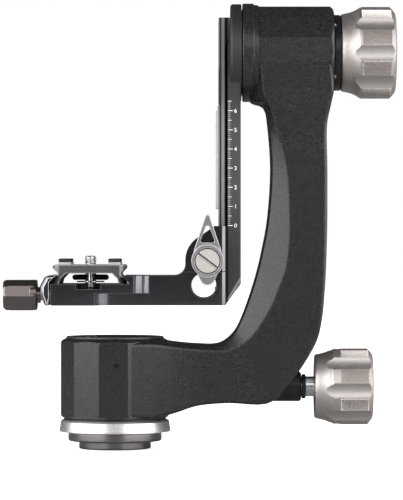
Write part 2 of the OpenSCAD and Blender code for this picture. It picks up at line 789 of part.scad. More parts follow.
// The bracket before it is split: front outline crossed with its two plans
module bracket_blank() {
    intersection() {
        front_slab(-clamp_half - 1, clamp_half + 1) bracket_front();
        union() {
            translate([0, 0, shelf_z]) linear_extrude(60) bracket_plan(10.6, upper_coves);
            translate([0, 0, plat_z0 - 1]) linear_extrude(shelf_z - plat_z0 + 1 + eps)
                bracket_plan(-9.7, lower_coves);
        }
    }
}

// Space round the dovetail rail: its outline, grown by the slide gap
module rail_channel() {
    g = slide_gap;
    half = [[rail_x0 - g, rail_half + g], [groove_x0 + g * 0.4, rail_half + g],
            [groove_x0 + groove_depth - 0.2, groove_floor + g + 0.2],
            [plat_x1 + 3, groove_floor + g + 0.2]];
    n = len(half) - 1;
    translate([0, 0, 60]) linear_extrude(80)
        polygon(concat(half, [for (i = [n:-1:0]) [half[i][0], -half[i][1]]]));
}

// Front corner of the upright that is a separate jaw
module jaw_region(gap) {
    translate([plat_x0, -clamp_half - 2, jaw_split_z - gap])
        cube([plat_x1 - plat_x0 + 1, clamp_half + 2 - jaw_split_y + gap, 40]);
}

module platform_bracket() {
    color("#2b2c2f") difference() {
        bracket_blank();
        rail_channel();
        jaw_region(0.15);
        // Slot for the rail's rib, and the blind slots that catch the stop screws
        translate([rib_x0 - 1.1, -rib_half - 1, plat_z0 - 1]) cube([4, 2 * rib_half + 2, 60]);
        for (s = [-1, 1]) translate([52.7, s * stop_screw_y - 3, plat_z0 - 1])
            cube([3, 6, stop_screw_z + 2.9 - plat_z0 + 1]);
        translate([47.0, 0, 86.1]) rod_y(-thru / 2, thru / 2, window_r);
        // Channel under the camera screw, open at the front
        translate([plate_x - channel_half, -clamp_half - 1, channel_z])
            cube([2 * channel_half, clamp_half + 1 + channel_y1, clamp_floor - channel_z + 1]);
        // Screw and dowels of the jaw
        translate([lever_x, 0, lever_z]) rod_y(-30, -7, lever_screw_r + fit);
        for (p = dowel_at) translate([p[0], 0, p[1]]) rod_y(-20, -6, dowel_r);
        // Clamp screw, guide pins and springs
        translate([0, 0, clamp_axis_z]) {
            rod_x(plat_x0 - 1, screw_x1 + 5, clamp_screw_r + fit);
            for (s = [-1, 1]) translate([0, s * pin_y, 0]) {
                rod_x(plat_x0 - 1, pin_x[1] + 5, pin_r + fit);
                rod_x(plat_x0 - 1, spring_x[1], 3.7);
            }
        }
        // Two countersunk holes in the arm
        for (x = [15, 27]) translate([x, 0, 70]) {
            cylinder(r = 2.6, h = 40);
            translate([0, 0, plat_z1 - 71.5]) cylinder(r1 = 2.5, r2 = 4.1, h = 1.6);
        }
    }
}

module rail_jaw() {
    color("#2b2c2f") difference() {
        intersection() {
            bracket_blank();
            jaw_region(0);
        }
        rail_channel();
        translate([lever_x, 0, lever_z]) rod_y(-30, -7, lever_screw_r + fit);
        for (p = dowel_at) translate([p[0], 0, p[1]]) rod_y(-20.5, -6, dowel_r + fit);
    }
}

module rail_jaw_dowels() {
    color("#b9b9bb") for (p = dowel_at) translate([p[0], 0, p[1]]) rod_y(-19.8, -6.2, dowel_r);
}

// Flat outline of the lever's wing and tail about its pivot, tip upwards
module lever_outline() {
    difference() {
        union() {
            hull() {
                translate([0, 22.7]) circle(r = 1.3, $fn = 24);
                translate([0, 3.4]) circle(r = 7.4, $fn = 48);
            }
            hull() {
                translate([0, -8.6]) circle(r = 3.9, $fn = 32);
                translate([0, -4.0]) circle(r = 6.0, $fn = 32);
            }
        }
        hull() {
            translate([0, 17.3]) circle(r = 1.0, $fn = 20);
            for (s = [-1, 1]) translate([s * 2.6, 10.6]) circle(r = 1.0, $fn = 20);
        }
    }
}

module rail_lever() {
    color("#8a8a8c") translate([lever_x, 0, lever_z]) difference() {
        union() {
            front_slab(wing_y0, -plat_half - 0.1) lever_outline();
            rod_y(lever_y0, -plat_half - 0.1, 8.4);
        }
        rod_y(lever_y0 - 1, -plat_half + 1, lever_screw_r);
        rod_y(lever_y0 - 1, lever_seat_y, 6.8);
    }
}

module lever_screw() {
    color("#cfcac4") translate([lever_x, 0, lever_z]) difference() {
        union() {
            rod_y(lever_y0 - 0.6, lever_seat_y, 6.2);
            rod_y(lever_seat_y - 0.1, -7.5, lever_screw_r);
        }
        rotate([0, slot_turn, 0]) translate([-8, lever_y0 - 1.6, -slot_w / 2]) cube([16, 2.1, slot_w]);
    }
}

// ---------------------------------------------------------------- clamp

// Outline of the moving jaw without its undercut, its outer face moved in by some amount
module jaw_outline(inset) {
    polygon([[jaw_tip_x, 91.8], [jaw_tip_x - 4.1, 91.6], [jaw_x0 + 2.6 + inset, 90.6],
             [jaw_x0 + inset, 85.6], [jaw_x0 + inset, 81.4], [jaw_x0 + 3.6, plat_z0],
             [jaw_x1, plat_z0], [jaw_tip_x, plat_z0 + 12]]);
}

module clamp_jaw() {
    color("#2b2c2f") difference() {
        // Outer face bowed in plan, with a bevel round both ends
        hull() {
            front_slab(-jaw_bow_y, jaw_bow_y) jaw_outline(0);
            front_slab(-clamp_half + jaw_bevel, clamp_half - jaw_bevel) jaw_outline(jaw_bow);
            front_slab(-clamp_half, clamp_half) offset(delta = -jaw_bevel) jaw_outline(jaw_bow);
        }
        front_slab(-clamp_half - 1, clamp_half + 1)
            polygon([[jaw_x1, plat_z0 - 1], [jaw_x1, 88.1], [jaw_tip_x + 1, 92.8],
                     [jaw_tip_x + 1, plat_z0 - 1]]);
        translate([0, 0, clamp_axis_z]) {
            rod_x(jaw_x0 - 1, jaw_x1 + 1, clamp_screw_r + fit);
            for (s = [-1, 1]) translate([0, s * pin_y, 0]) rod_x(pin_x[0], jaw_x1 + 1, pin_r);
        }
    }
}

module jaw_guide_pins() {
    color("#b9b9bb") translate([0, 0, clamp_axis_z])
        for (s = [-1, 1]) translate([0, s * pin_y, 0]) rod_x(pin_x[0], pin_x[1], pin_r);
}

// Coil round the X axis, one tube swept by the turns
module coil(x0, x1, r, wire, turns) {
    per_turn = 12;
    n = per_turn * turns;
    loft([for (i = [0:n]) let (a = 360 * i / per_turn, x = x0 + wire + (x1 - x0 - 2 * wire) * i / n)
        [for (k = [0:5]) let (b = -60 * k)
            [x + wire * sin(b), (r + wire * cos(b)) * cos(a), (r + wire * cos(b)) * sin(a)]]]);
}

module jaw_springs() {
    color("#c8c8ca") translate([0, 0, clamp_axis_z]) for (s = [-1, 1]) translate([0, s * pin_y, 0])
        coil(spring_x[0], spring_x[1], spring_r, spring_wire, spring_turns);
}

module clamp_knob() {
    color("#4a4341") translate([0, 0, clamp_axis_z]) difference() {
        union() {
            // Faceted grip with a turned outer chamfer
            intersection() {
                translate([knob_x0, 0, 0]) along_x() rotate([0, 0, knob_turn])
                    cylinder(r = clamp_knob_r + 0.2, h = grip_x1 - knob_x0, $fn = knob_facets);
                turned_x([[knob_x0, 0], [knob_x0, clamp_knob_r - 1], [knob_x0 + 1.4, clamp_knob_r],
                          [grip_x1, clamp_knob_r + 1], [grip_x1, 0]]);
            }
            // Round collar and the neck that bears on the jaw
            turned_x([[grip_x1 - 2.5, 0], [grip_x1 - 2.5, clamp_knob_r - 0.9],
                      [grip_x1 - 1.6, clamp_knob_r], [knob_x1 - 0.5, clamp_knob_r],
                      [knob_x1, clamp_knob_r - 0.5], [knob_x1, neck_r],
                      [jaw_x0 - 0.1, neck_r], [jaw_x0 - 0.1, 0]]);
        }
        rod_x(screw_x0, jaw_x0 + 2, clamp_screw_r);
        rod_x(knob_x0 - 1, knob_x0 + 0.6, 5.2);
    }
}

module clamp_screw() {
    color("#b9b9bb") translate([0, 0, clamp_axis_z])
        turned_x([[screw_x0, 0], [screw_x0, clamp_screw_r], [screw_x1 - 0.5, clamp_screw_r],
                  [screw_x1, clamp_screw_r - 0.5], [screw_x1, 0]]);
}

// ---------------------------------------------------------------- quick-release plate

// Half outline of the plate as [offset from its centre, height]
plate_side = plate_w / 2;
plate_z0 = clamp_floor + 0.1;
deck_z = plate_z1 - 4.6;
plate_half_outline = [
    [0, plate_z1], [plate_side - 0.8, plate_z1], [plate_side, plate_z1 - 0.8],
    [plate_side, plate_z1 - 1.8], [plate_side - 2.5, plate_z1 - 4.3],
    [plate_side - 2.5, plate_z1 - 5.25], [plate_side, plate_z1 - 7.75],
    [plate_side, plate_z0], [plate_side - 3.4, plate_z0], [plate_side - 4.0, deck_z - 3.0],
    [plate_side - 7.0, deck_z], [0, deck_z]];
plate_outline = [for (s = [1, -1], i = [0:len(plate_half_outline) - 1])
    let (p = plate_half_outline[s > 0 ? i : len(plate_half_outline) - 1 - i]) [s * p[0], p[1]]];

module quick_release_plate() {
    color("#55565a") translate([plate_x, 0, 0]) difference() {
        union() {
            intersection() {
                front_slab(-plate_len / 2, plate_len / 2) polygon(plate_outline);
                translate([0, 0, 70]) linear_extrude(40) plate_plan();
            }
            for (s = [-1, 1])
                translate([s * pad_offset - pad_half - 0.2, -20, plate_z1 - 0.5])
                    cube([2 * pad_half + 0.4, 40, pad_rib_h + 0.5]);
        }
        translate([0, 0, 80]) cylinder(r = 3.4, h = 40);
    }
}

// Plan of the plate with round corners
module plate_plan() {
    w = plate_w / 2 - 4;
    l = plate_len / 2 - 4;
    polygon(concat(arc_points(w, l, 4, 0, 90, 6), arc_points(-w, l, 4, 90, 180, 6),
                   arc_points(-w, -l, 4, 180, 270, 6), arc_points(w, -l, 4, 270, 360, 6)));
}

module plate_pads() {
    color("#121212") for (s = [-1, 1])
        translate([plate_x + s * pad_offset - pad_half, -19.5, plate_z1 + pad_rib_h])
            cube([2 * pad_half, 39, pad_h]);
}

module camera_screw() {
    color("#d4d4d6") translate([plate_x, 0, 0])
        turned_z([[head_z0, 0], [head_z0, neck_screw_r - 0.5], [head_z0 + 0.4, neck_screw_r],
                  [87.8, neck_screw_r], [87.8, 7.4], [88.5, 7.4], [88.5, neck_screw_r],
                  [plate_z1, neck_screw_r], [plate_z1, camera_thread_r],
                  [thread_z1 - 0.5, camera_thread_r], [thread_z1, camera_thread_r - 0.6],
                  [thread_z1, 0]]);
}

// Folding finger ring, swung to the back: a half ring of wire on a thin pivot in the screw
module screw_ring() {
    color("#0f0f10") translate([plate_x, 0, ring_z]) difference() {
        union() {
            rotate_extrude(angle = 180) translate([ring_r, 0]) circle(r = ring_wire, $fn = 24);
            rod_x(-ring_r, ring_r, ring_pivot_r);
        }
        translate([0, 0, -5]) cylinder(r = neck_screw_r, h = 10);
    }
}

base_plate();
pan_scale_ring();
base_screws();
pan_post();
post_nut();
pan_friction_ring();
pan_bearing_inner_rings();
pan_bearing_balls();
pan_bearing_outer_rings();
yoke_arm();
boss_cap();
level_cup();
level_vial();
bearing_set_screw();
tilt_bearing_outer_rings();
tilt_bearing_balls();
tilt_friction_washer();
tilt_end_cover();
pan_lock_sleeve();
pan_brake_shoe();
pan_lock_rod();
pan_knob();
pan_knob_washer();
pan_knob_cap();
tilt_brake_pad();
tilt_stud();
tilt_knob();
tilt_knob_cap();
swing_rail();
tilt_shaft();
shaft_screws();
tilt_bearing_inner_rings();
shaft_circlip();
rail_rib();
rail_upper_stop();
rail_stop_screws();
platform_bracket();
rail_jaw();
rail_jaw_dowels();
rail_lever();
lever_screw();
clamp_jaw();
jaw_guide_pins();
jaw_springs();
clamp_knob();
clamp_screw();
quick_release_plate();
plate_pads();
camera_screw();
screw_ring();
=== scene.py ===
"""Looks of the gimbal tripod head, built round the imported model, +Z up.

Blender works in metres. The parts are drawn in millimetres, which MM turns into metres; the
stage, the lights and the camera are given in metres.
"""
import json
import math
from itertools import product

import bpy
from mathutils import Matrix, Vector


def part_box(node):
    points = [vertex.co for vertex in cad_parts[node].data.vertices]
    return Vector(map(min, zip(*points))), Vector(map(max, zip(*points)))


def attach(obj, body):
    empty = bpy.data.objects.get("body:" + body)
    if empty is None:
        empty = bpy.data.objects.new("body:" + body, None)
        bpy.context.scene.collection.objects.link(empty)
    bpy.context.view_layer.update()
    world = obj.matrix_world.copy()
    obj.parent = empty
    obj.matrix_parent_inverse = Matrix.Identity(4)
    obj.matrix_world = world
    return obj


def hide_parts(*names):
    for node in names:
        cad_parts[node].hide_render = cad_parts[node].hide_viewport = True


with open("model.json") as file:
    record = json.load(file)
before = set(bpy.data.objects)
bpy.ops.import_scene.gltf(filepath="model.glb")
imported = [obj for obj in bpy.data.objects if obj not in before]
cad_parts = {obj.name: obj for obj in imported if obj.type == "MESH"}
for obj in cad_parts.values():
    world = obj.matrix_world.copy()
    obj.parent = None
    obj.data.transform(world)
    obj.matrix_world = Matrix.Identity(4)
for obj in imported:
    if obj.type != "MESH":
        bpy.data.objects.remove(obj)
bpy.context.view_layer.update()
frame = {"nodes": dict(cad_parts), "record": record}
NODES = frame["nodes"]
SLOT_OF = {part["node"]: part["material_slot"] for part in frame["record"]["subparts"]}
MM = 0.001


# ---------------------------------------------------------------- places taken from the model

def span(node, axis):
    """Lowest and highest value of a CAD node along one axis, in millimetres."""
    low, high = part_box(node)
    index = "xyz".index(axis)
    return low[index] / MM, high[index] / MM


def middle(node, axis):
    low, high = span(node, axis)
    return (low + high) / 2


TILT_Z = middle("tilt_knob", "z")
PAN_Z = middle("pan_knob", "z")
SCREW_X = middle("camera_screw", "x")


# ---------------------------------------------------------------- materials

NOISE_LOW, NOISE_HIGH = 0.3, 0.7  # most values of a noise texture lie between these


class Look:
    """A node material in the making: short calls add the noise that varies its surface."""

    def __init__(self, name, color, metallic=0.0, roughness=0.5, **sockets):
        self.material = bpy.data.materials.new(name)
        self.material.use_nodes = True
        self.material.diffuse_color = (*color, 1)
        self.tree = self.material.node_tree
        self.shader = self.tree.nodes["Principled BSDF"]
        self.shader.inputs["Base Color"].default_value = (*color, 1)
        self.shader.inputs["Metallic"].default_value = metallic
        self.shader.inputs["Roughness"].default_value = roughness
        for socket, value in sockets.items():
            self.shader.inputs[socket.replace("_", " ")].default_value = value
        self.coords = self.node("TexCoord").outputs["Object"]

    def node(self, kind, **settings):
        """New shader node with its own settings, such as operation."""
        made = self.tree.nodes.new("ShaderNode" + kind)
        for setting, value in settings.items():
            setattr(made, setting, value)
        return made

    def put(self, value, target):
        """Links an output to an input, or sets the input where value is plain."""
        if isinstance(value, bpy.types.NodeSocket):
            self.tree.links.new(value, target)
        else:
            target.default_value = value

    def mix(self, a, b, factor, blend_type="MIX"):
        node = self.node("Mix", data_type="RGBA", blend_type=blend_type)
        for socket, value in (("A", a), ("B", b), ("Factor", factor)):
            self.put(value, node.inputs[socket])
        return node.outputs["Result"]

    def map_range(self, value, start, end, low=0.0, high=1.0):
        """Maps a value between start and end to the range from low to high."""
        node = self.node("MapRange")
        limits = (("From Min", start), ("From Max", end), ("To Min", low), ("To Max", high))
        for socket, limit in limits:
            node.inputs[socket].default_value = limit
        self.put(value, node.inputs["Value"])
        return node.outputs["Result"]

    def vector_math(self, operation, vector, other=None):
        node = self.node("VectorMath", operation=operation)
        self.put(vector, node.inputs[0])
        if other is not None:
            self.put(other, node.inputs[1])
        return node.outputs["Value" if operation == "LENGTH" else "Vector"]

    def component(self, vector, axis):
        node = self.node("SeparateXYZ")
        self.put(vector, node.inputs["Vector"])
        return node.outputs[axis.upper()]

    def noise(self, size_mm, detail=2.0, place=None):
        """Noise whose grains are about size_mm across."""
        node = self.node("TexNoise")
        node.inputs["Scale"].default_value = 1 / (size_mm * MM)
        node.inputs["Detail"].default_value = detail
        self.put(place or self.coords, node.inputs["Vector"])
        return node.outputs["Fac"]

    def rings(self, size_mm, centre, along):
        """Noise in rings about the part's own axis, on its ends as well as round its side."""
        offset = self.vector_math("SUBTRACT", self.coords, [c * MM for c in centre])
        across = self.vector_math("MULTIPLY", offset, [0 if a == along else 1 for a in "xyz"])
        place = self.node("CombineXYZ")
        self.put(self.vector_math("LENGTH", across), place.inputs["X"])
        self.put(self.component(offset, along), place.inputs["Y"])
        return self.noise(size_mm, place=place.outputs["Vector"])

    def vary_roughness(self, value, low, high):
        self.put(self.map_range(value, NOISE_LOW, NOISE_HIGH, low, high),
                 self.shader.inputs["Roughness"])

    def vary_color(self, value, other, amount, start=NOISE_LOW, end=NOISE_HIGH):
        """Blends towards another colour where the noise is high."""
        self.change_color((*other, 1), self.map_range(value, start, end, 0.0, amount))

    def change_color(self, other, factor, blend_type="MIX"):
        """Mixes another colour or output into the base colour as it is so far."""
        base = self.shader.inputs["Base Color"]
        before = base.links[0].from_socket if base.is_linked else base.default_value[:]
        self.put(self.mix(before, other, factor, blend_type), base)

    def zones(self, axis, stops):
        """Painted light and shade: darkens the base colour along one axis; stops are
        [millimetres, factor] pairs.
        """
        first, last = stops[0][0], stops[-1][0]
        ramp = self.node("ValToRGB")
        while len(ramp.color_ramp.elements) < len(stops):
            ramp.color_ramp.elements.new(1.0)
        for element, (at, factor) in zip(ramp.color_ramp.elements, stops):
            element.position = (at - first) / (last - first)
            element.color = (factor, factor, factor, 1)
        along = self.component(self.coords, axis)
        self.put(self.map_range(along, first * MM, last * MM), ramp.inputs["Fac"])
        self.change_color(ramp.outputs["Color"], 1.0, "MULTIPLY")

    def bump(self, value, depth_mm, strength):
        node = self.node("Bump")
        node.inputs["Strength"].default_value = strength
        node.inputs["Distance"].default_value = depth_mm * MM
        self.put(value, node.inputs["Height"])
        self.put(node.outputs["Normal"], self.shader.inputs["Normal"])


def shade(color, factor):
    return tuple(channel * factor for channel in color)


COAT_FLECK = (0.075, 0.075, 0.079)


def coat(name, color):
    """Powder coat: fine orange peel with sparse pale flecks."""
    look = Look(name, color, roughness=0.28, Specular_IOR_Level=0.62)
    look.vary_color(look.noise(9.0, 3), shade(color, 1.35), 0.6)
    look.vary_color(look.noise(0.28, 1), COAT_FLECK, 0.75, start=0.50, end=0.66)
    look.vary_roughness(look.noise(2.5), 0.26, 0.30)
    look.bump(look.noise(0.4), 0.025, 0.5)
    return look.material


def anodised(name, color, roughness=0.32, grain=0.25, metallic=1.0, zones=()):
    """Anodised aluminium: even colour, fine grain and faint handling marks, with painted light
    and shade along an axis where zones are given.
    """
    look = Look(name, color, metallic, roughness)
    look.vary_color(look.noise(14.0, 3), shade(color, 0.88), 0.6)
    look.vary_roughness(look.noise(3.0, 3), roughness * 0.92, roughness * 1.1)
    for axis, stops in zones:
        look.zones(axis, stops)
    look.bump(look.noise(grain), 0.002, 0.1)
    return look.material


def blasted(name, color, roughness, grain=0.3, metallic=0.97):
    """Bead-blasted metal: a visible soft grain that scatters much of the light."""
    look = Look(name, color, metallic, roughness)
    look.vary_color(look.noise(grain * 1.5), shade(color, 0.7), 0.55)
    look.vary_color(look.noise(8.0, 3), shade(color, 0.85), 0.5)
    look.vary_roughness(look.noise(2.0), roughness * 0.9, roughness * 1.12)
    look.bump(look.noise(grain), 0.02, 0.5)
    return look.material


def turned(name, color, roughness, metallic=1.0, centre=(0, 0, 0), along="z"):
    """Lathe-turned metal: fine rings round the part's own axis."""
    look = Look(name, color, metallic, roughness)
    marks = look.rings(0.25, centre, along)
    look.vary_color(marks, shade(color, 0.85), 0.5)
    look.vary_roughness(marks, roughness * 0.8, roughness * 1.3)
    look.bump(marks, 0.005, 0.4)
    return look.material


def knob_end(name, axis_z):
    """Turned disc in the outer end of a knob."""
    return turned(name, (0.60, 0.555, 0.53), 0.32, centre=(0, 0, axis_z), along="x")


def polymer(name, color, roughness, grain, depth=0.02):
    """Plastic, rubber or satin paint with a fine moulded grain."""
    look = Look(name, color, roughness=roughness)
    look.vary_color(look.noise(4.0, 3), shade(color, 1.6), 0.5)
    look.vary_roughness(look.noise(1.5), roughness * 0.88, roughness * 1.12)
    look.bump(look.noise(grain), depth, 0.5)
    return look.material


def paint(name, color):
    return polymer(name, color, 0.5, 0.3, 0.005)


def vial_glass(name):
    look = Look(name, (0.62, 0.80, 0.20), roughness=0.05, Transmission_Weight=0.55, IOR=1.45)
    look.vary_color(look.noise(1.5), (0.50, 0.72, 0.16), 0.4)
    return look.material


def chamfer(name, color, roughness=0.34):
    """Pale half-metal that looks bright from every side: painted highlight on bevelled edges,
    and on the silver strip its own pale silver with a painted highlight.
    """
    look = Look(name, color, 0.45, roughness)
    look.vary_color(look.noise(3.0, 4), shade(color, 0.8), 0.6)
    look.vary_roughness(look.noise(0.8), roughness * 0.9, roughness * 1.15)
    return look.material


# Painted light and shade on the rail: painted highlights on its left edge and on the flange's
# slanted face, a dark band, painted shade in the dovetail groove, and darker towards the top and
# bottom.
# Painted light and shade on the upright's round corner: a painted highlight on the corner and
# painted shade in the gap next to the rail. How dark they are across (x) and up (z).
RAIL_LIGHT_AND_SHADE = (
    ("x", [(54.8, 0.8), (55.05, 0.7), (55.2, 0.14), (56.1, 0.14), (56.35, 1.0), (57.6, 0.85),
           (57.9, 0.15), (58.1, 0.01), (59.4, 0.01), (59.6, 0.29), (66.9, 0.29)]),
    ("z", [(77, 0.6), (105, 0.65), (135, 1.0), (170, 1.0), (188, 0.62), (235, 0.62)]))
UPRIGHT_LIGHT_AND_SHADE = (
    ("x", [(-33, 0.55), (55.0, 0.5), (56.2, 0.62), (58.2, 0.5), (58.5, 0.1), (60, 0.1)]),)

# One look for each material slot of the record
LOOKS = {
    "yoke_coat": coat("yoke_coat_look", (0.0035, 0.0035, 0.0038)),
    "knob_silver": blasted("knob_silver_look", (0.80, 0.745, 0.715), 0.48),
    "scale_silver": turned("scale_silver_look", (0.84, 0.83, 0.82), 0.30, metallic=0.88),
    "base_gunmetal": turned("base_gunmetal_look", (0.36, 0.335, 0.335), 0.20),
    # The rail and the platform carry painted light and shade along their axes
    "rail_grey": anodised("rail_grey_look", (0.36, 0.357, 0.375), 0.46, metallic=0.72,
                          zones=RAIL_LIGHT_AND_SHADE),
    "platform_black": anodised("platform_black_look", (0.36, 0.353, 0.38), 0.17, metallic=0.97,
                               zones=UPRIGHT_LIGHT_AND_SHADE),
    "plate_grey": anodised("plate_grey_look", (0.20, 0.192, 0.203), metallic=0.85),
    "lever_grey": blasted("lever_grey_look", (0.27, 0.267, 0.267), 0.44, 0.35, metallic=0.6),
    "lever_pin": blasted("lever_pin_look", (0.60, 0.575, 0.555), 0.50, 0.4, metallic=0.45),
    "clamp_knob_brown": anodised("clamp_knob_brown_look", (0.26, 0.23, 0.22), 0.20,
                                 metallic=0.95),
    "steel": turned("steel_look", (0.52, 0.52, 0.53), 0.24, centre=(0, 0, TILT_Z), along="x"),
    "screw_black": anodised("screw_black_look", (0.030, 0.030, 0.032), 0.32, 0.2, 0.6),
    "chrome": anodised("chrome_look", (0.86, 0.86, 0.87), 0.16, 0.8, 0.85),
    "black_trim": polymer("black_trim_look", (0.009, 0.009, 0.010), 0.30, 0.3, 0.008),
    "black_plastic": polymer("black_plastic_look", (0.010, 0.010, 0.011), 0.42, 0.4),
    "rubber_black": polymer("rubber_black_look", (0.016, 0.016, 0.017), 0.66, 0.35, 0.03),
    "bronze": anodised("bronze_look", (0.40, 0.25, 0.11), 0.42, 0.3),
    # The silver strip: its own pale silver, lifted with a painted highlight
    "strip_silver": chamfer("strip_silver_look", (0.92, 0.86, 0.81), 0.40),
    "vial": vial_glass("vial_look"),
}
# Painted highlight: near-white, over the tops of the plate's ribs
WHITE_HIGHLIGHT = chamfer("white_highlight_look", (0.80, 0.79, 0.80))
# Painted highlights on bevelled edges, pale and grey
PALE_EDGE_HIGHLIGHT = chamfer("pale_edge_highlight_look", (0.60, 0.59, 0.60))
GREY_EDGE_HIGHLIGHT = chamfer("grey_edge_highlight_look", (0.16, 0.16, 0.17))
# Painted highlight: a lighter band that stands in for a bevel on the rail's lower end
RAIL_BEVEL_HIGHLIGHT = anodised("rail_bevel_highlight_look", (0.27, 0.27, 0.285), 0.45, metallic=0.5)
# Painted shade: a darker metal for the sides of the knurl's diamonds
KNURL_GROOVE_SHADE = blasted("knurl_groove_shade_look", (0.70, 0.65, 0.62), 0.34)
WHITE_PAINT = paint("white_paint_look", (0.80, 0.80, 0.80))
GREY_PAINT = paint("grey_paint_look", (0.36, 0.36, 0.365))
SCALE_MARK = paint("scale_mark_look", (0.30, 0.29, 0.285))
BUBBLE = polymer("bubble_look", (0.80, 0.92, 0.55), 0.15, 0.6, 0.002)

# Nodes that don't take the look of their slot
OWN_LOOK = {
    "tilt_knob_cap": knob_end("tilt_end_look", TILT_Z),
    "pan_knob_cap": knob_end("pan_end_look", PAN_Z),
}


# ---------------------------------------------------------------- finish of the CAD nodes

def shade_smooth():
    """Node group that marks every face smooth."""
    group = bpy.data.node_groups.new("shade_smooth", "GeometryNodeTree")
    for side in ("INPUT", "OUTPUT"):
        group.interface.new_socket("Geometry", in_out=side, socket_type="NodeSocketGeometry")
    start = group.nodes.new("NodeGroupInput")
    smooth = group.nodes.new("GeometryNodeSetShadeSmooth")
    end = group.nodes.new("NodeGroupOutput")
    group.links.new(start.outputs["Geometry"], smooth.inputs["Geometry"])
    group.links.new(smooth.outputs["Geometry"], end.inputs["Geometry"])
    return group


SMOOTH = shade_smooth()
WELD_DISTANCE = 0.001 * MM
FLAT_ANGLE = math.radians(0.6)  # faces that turn by less than this become one
NORMAL_WEIGHT = 80  # large faces stay flat and the bevels take up the turn


def soften(obj, width_mm, edge=None, segments=2, angle=40, clamp=True):
    """Breaks the sharp edges of a machined part with a small bevel.

    edge is the look of the bevel where it isn't the part's own, a painted highlight; angle the
    least turn in degrees that counts as an edge, and clamp says whether close edges narrow the
    bevel.
    """
    weld = obj.modifiers.new("weld", "WELD")
    weld.merge_threshold = WELD_DISTANCE
    flat = obj.modifiers.new("flat", "DECIMATE")
    flat.decimate_type = "DISSOLVE"
    flat.angle_limit = FLAT_ANGLE
    obj.modifiers.new("smooth", "NODES").node_group = SMOOTH
    bevel = obj.modifiers.new("bevel", "BEVEL")
    bevel.width = width_mm * MM
    bevel.segments = segments
    bevel.limit_method = "ANGLE"
    bevel.angle_limit = math.radians(angle)
    bevel.use_clamp_overlap = clamp
    if edge is not None:
        obj.data.materials.append(edge)
        bevel.material = len(obj.data.materials) - 1
    normals = obj.modifiers.new("normals", "WEIGHTED_NORMAL")
    normals.weight = NORMAL_WEIGHT


for node, obj in NODES.items():
    obj.data.materials.clear()
    obj.data.materials.append(OWN_LOOK.get(node, LOOKS[SLOT_OF[node]]))

# Bevels of the CAD nodes; where edge is given, the bevel carries a painted highlight
SOFTENED = {
    "yoke_arm": dict(width_mm=0.35, angle=28),
    "platform_bracket": dict(width_mm=0.18, edge=GREY_EDGE_HIGHLIGHT, segments=1, clamp=False),
    "rail_jaw": dict(width_mm=0.12, segments=1, clamp=False),
    "clamp_jaw": dict(width_mm=0.28, edge=PALE_EDGE_HIGHLIGHT, angle=30, clamp=False),
    "swing_rail": dict(width_mm=0.25, edge=GREY_EDGE_HIGHLIGHT),
    "rail_lever": dict(width_mm=0.34, edge=PALE_EDGE_HIGHLIGHT, clamp=False),
    "quick_release_plate": dict(width_mm=0.35, edge=PALE_EDGE_HIGHLIGHT, clamp=False),
    "rail_rib": dict(width_mm=0.20, angle=32),
    "tilt_knob": dict(width_mm=0.12, angle=35),
    "pan_knob": dict(width_mm=0.12, angle=35),
    "clamp_knob": dict(width_mm=0.25, angle=36),
    "plate_pads": dict(width_mm=0.30, angle=32),
    "rail_upper_stop": dict(width_mm=0.20, angle=32),
    "lever_screw": dict(width_mm=0.20),
    "screw_ring": dict(width_mm=0.10, segments=1, angle=60),
    "base_plate": dict(width_mm=0.20),
    "boss_cap": dict(width_mm=0.15, edge=GREY_EDGE_HIGHLIGHT),
}
for node, finish in SOFTENED.items():
    soften(NODES[node], **finish)


# ---------------------------------------------------------------- tools for pieces made here

BOX_FACES = ((0, 1, 3, 2), (4, 6, 7, 5), (0, 4, 5, 1), (2, 3, 7, 6), (0, 2, 6, 4), (1, 5, 7, 3))
THREAD_STEPS = 36  # points round a thread
THREAD_ROWS = 8  # rings of points in one pitch of a thread
THREAD_FADE = 1.5  # share of its height that a thread gains in one pitch from its end


def piece(name, points, faces, look, body, smooth=False):
    """Mesh drawn in millimetres that moves with a body."""
    mesh = bpy.data.meshes.new(name)
    mesh.from_pydata([[c * MM for c in p] for p in points], [], faces)
    mesh.materials.append(look)
    mesh.validate()
    for face in mesh.polygons:
        face.use_smooth = smooth
    obj = bpy.data.objects.new(name, mesh)
    bpy.context.scene.collection.objects.link(obj)
    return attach(obj, body)


def joined(shells):
    """Points and faces of many shells as one list of each."""
    points, faces = [], []
    for shell_points, shell_faces in shells:
        start = len(points)
        points += shell_points
        faces += [[start + k for k in face] for face in shell_faces]
    return points, faces


def boxes(spans):
    """Points and faces of boxes, each given as its lowest and highest corner."""
    return joined((list(product(*zip(low, high))), BOX_FACES) for low, high in spans)


def tube_faces(rings, steps):
    """Faces between rings of points that follow one another."""
    faces = []
    for i in range(rings - 1):
        for k in range(steps):
            a, b = i * steps + k, i * steps + (k + 1) % steps
            faces.append((a, b, b + steps, a + steps))
    return faces


def lathe(outline, place, along, steps=48):
    """Points and faces of [distance along the axis, radius] pairs turned about an axis."""
    points = []
    for t, r in outline:
        for k in range(steps):
            u, v = r * math.cos(math.tau * k / steps), r * math.sin(math.tau * k / steps)
            off = {"x": (t, u, v), "z": (u, v, t)}[along]
            points.append(tuple(a + b for a, b in zip(place, off)))
    return points, tube_faces(len(outline), steps)


